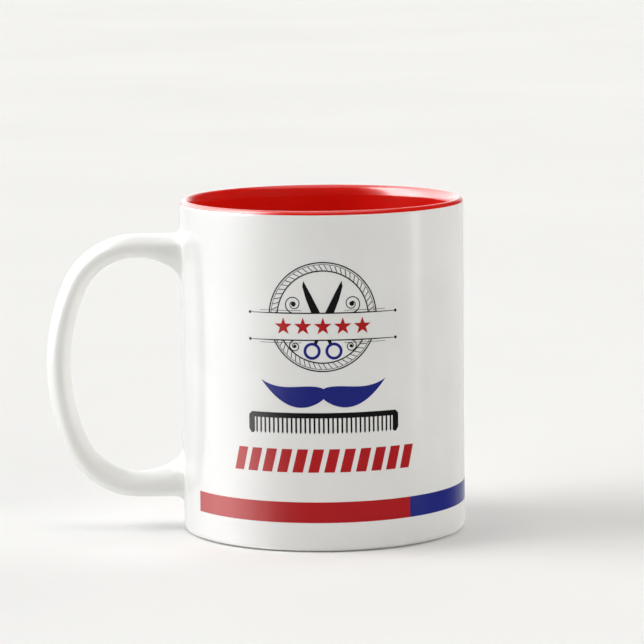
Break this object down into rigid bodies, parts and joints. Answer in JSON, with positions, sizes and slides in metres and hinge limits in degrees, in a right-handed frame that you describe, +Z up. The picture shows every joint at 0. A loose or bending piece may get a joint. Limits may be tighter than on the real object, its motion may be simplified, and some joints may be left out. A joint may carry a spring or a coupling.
{
  "type": "shaving mug",
  "caption": "Straight-sided glazed ceramic shaving mug with a strap handle, a red liner over a rounded lip and a printed barber decoration above a coloured band.",
  "frame": {"origin": "on the cup's axis, in the plane that the foot ring stands on", "axes": "+Z up along the cup's axis, -X towards the handle, -Y towards the front print"},
  "size_m": [0.1215, 0.0822, 0.0965],
  "materials": {
    "stoneware": "matte",
    "white_glaze": "gloss",
    "red_glaze": "gloss",
    "red_print": "gloss",
    "navy_print": "gloss",
    "black_print": "gloss"
  },
  "bodies": {
    "root": {"cup_body": "stoneware", "handle": "white_glaze", "upper_slip_joint": "white_glaze", "lower_slip_joint": "white_glaze", "outer_glaze": "white_glaze", "liner_glaze": "red_glaze", "front_red_band": "red_print", "blue_band": "navy_print", "rear_red_band": "red_print", "badge_outline": "black_print", "badge_scissors": "black_print", "badge_loops": "navy_print", "star_row": "red_print", "moustache_print": "navy_print", "comb_print": "black_print", "bar_row": "red_print"}
  },
  "joints": []
}
